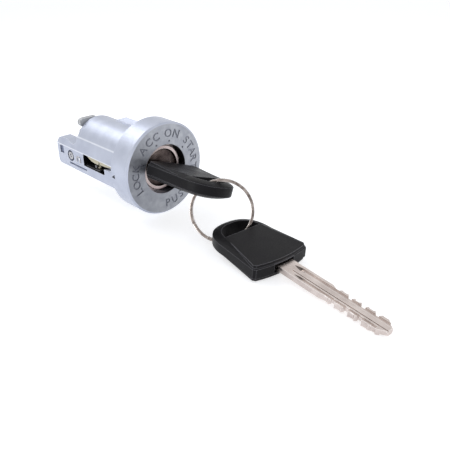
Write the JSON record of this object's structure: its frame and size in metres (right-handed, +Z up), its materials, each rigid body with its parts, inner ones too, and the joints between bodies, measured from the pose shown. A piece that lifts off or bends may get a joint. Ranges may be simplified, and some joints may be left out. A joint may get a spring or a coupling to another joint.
{
  "type": "ignition switch",
  "caption": "Die-cast ignition lock cylinder with a round lettered head, side rail and sprung push sleeve, its plastic-headed key in the lock and a spare key on a split ring.",
  "frame": {"origin": "on the lock's axis, at the middle of the round head's thickness", "axes": "+Y along the lock's axis from the lettered face to the switch end, +Z up with the lettering upright, +X to the right seen from the front; the rail is on the -X side"},
  "size_m": [0.043, 0.1927, 0.043],
  "materials": {
    "cast_metal": "satin die cast",
    "cover_steel": "zinc plated",
    "pin_steel": "ground",
    "spring_steel": "dark drawn wire",
    "lever_plastic": "moulded, cream",
    "sleeve_metal": "bronze tinted, bright",
    "plug_metal": "machined",
    "disc_steel": "turned, dark",
    "rotor_metal": "satin die cast",
    "tumbler_brass": "stamped",
    "key_plastic": "fine grained, charcoal",
    "key_metal": "nickel plated",
    "ring_metal": "nickel plated wire"
  },
  "bodies": {
    "housing": {"housing": "cast_metal", "rear_cover": "cover_steel", "cover_screws": "cover_steel", "guide_pin": "pin_steel", "lever_pin": "pin_steel", "lever_spring": "spring_steel", "retaining_spring": "spring_steel", "sleeve_spring": "spring_steel"},
    "sleeve": {"push_sleeve": "sleeve_metal"},
    "plug": {"key_plug": "plug_metal", "face_disc": "disc_steel", "plug_clip": "spring_steel", "tumbler_spring_1": "spring_steel", "tumbler_spring_2": "spring_steel", "tumbler_spring_3": "spring_steel", "tumbler_spring_4": "spring_steel", "tumbler_spring_5": "spring_steel", "tumbler_spring_6": "spring_steel", "tumbler_spring_7": "spring_steel", "tumbler_spring_8": "spring_steel"},
    "rotor": {"rotor": "rotor_metal"},
    "tumblers_odd": {"tumbler_1": "tumbler_brass", "tumbler_3": "tumbler_brass", "tumbler_5": "tumbler_brass", "tumbler_7": "tumbler_brass"},
    "tumblers_even": {"tumbler_2": "tumbler_brass", "tumbler_4": "tumbler_brass", "tumbler_6": "tumbler_brass", "tumbler_8": "tumbler_brass"},
    "lever": {"key_lever": "lever_plastic"},
    "lock_pin": {"retaining_pin": "pin_steel"},
    "key": {"key_bow": "key_plastic", "key_blade": "key_metal"},
    "ring": {"key_ring": "ring_metal"},
    "spare_key": {"spare_bow": "key_plastic", "spare_blade": "key_metal"}
  },
  "joints": [
    {"name": "plug_push", "type": "slide", "parent": "housing", "child": "sleeve", "axis": [0, 1, 0], "range_m": [0, 0.0025], "stiffness_N_per_m": 800, "springref_m": -0.004, "deforming": ["sleeve_spring"]},
    {"name": "key_turn", "type": "hinge", "parent": "sleeve", "child": "plug", "pos_m": [0, 0, 0], "axis": [0, 1, 0], "range_deg": [0, 120]},
    {"name": "rotor_turn", "type": "hinge", "parent": "housing", "child": "rotor", "pos_m": [0, 0.05, 0], "axis": [0, 1, 0], "range_deg": [0, 120]},
    {"name": "key_slide", "type": "slide", "parent": "plug", "child": "key", "axis": [0, -1, 0], "range_m": [0, 0.05]},
    {"name": "odd_tumbler_slide", "type": "slide", "parent": "plug", "child": "tumblers_odd", "axis": [-0.9397, 0, 0.342], "range_m": [0, 0.0008], "deforming": ["tumbler_spring_1", "tumbler_spring_3", "tumbler_spring_5", "tumbler_spring_7"]},
    {"name": "even_tumbler_slide", "type": "slide", "parent": "plug", "child": "tumblers_even", "axis": [0.9397, 0, -0.342], "range_m": [0, 0.0008], "deforming": ["tumbler_spring_2", "tumbler_spring_4", "tumbler_spring_6", "tumbler_spring_8"]},
    {"name": "lever_tip", "type": "hinge", "parent": "housing", "child": "lever", "pos_m": [-0.0124, 0.03096, -0.00538], "axis": [1, 0, 0], "range_deg": [0, 2], "stiffness_Nm_per_rad": 0.05, "springref_deg": -5.73},
    {"name": "retaining_press", "type": "slide", "parent": "housing", "child": "lock_pin", "axis": [1, 0, 0], "range_m": [0, 0.0015], "stiffness_N_per_m": 500, "springref_m": -0.002, "deforming": ["retaining_spring"]},
    {"name": "ring_swing", "type": "hinge", "parent": "key", "child": "ring", "pos_m": [-0.00357, -0.0347, 0.0013], "axis": [0.9397, 0, -0.342], "range_deg": [-12, 0]},
    {"name": "spare_travel", "type": "hinge", "parent": "ring", "child": "spare_key", "pos_m": [-0.00044, -0.04293, -0.00806], "axis": [0.7083, 0.6304, -0.3176], "range_deg": [-10, 30]}
  ],
  "couplings": [
    {"joint": "rotor_turn", "follows": "key_turn", "ratio": 1},
    {"joint": "odd_tumbler_slide", "follows": "key_slide", "ratio": 0.016},
    {"joint": "even_tumbler_slide", "follows": "key_slide", "ratio": 0.016}
  ]
}
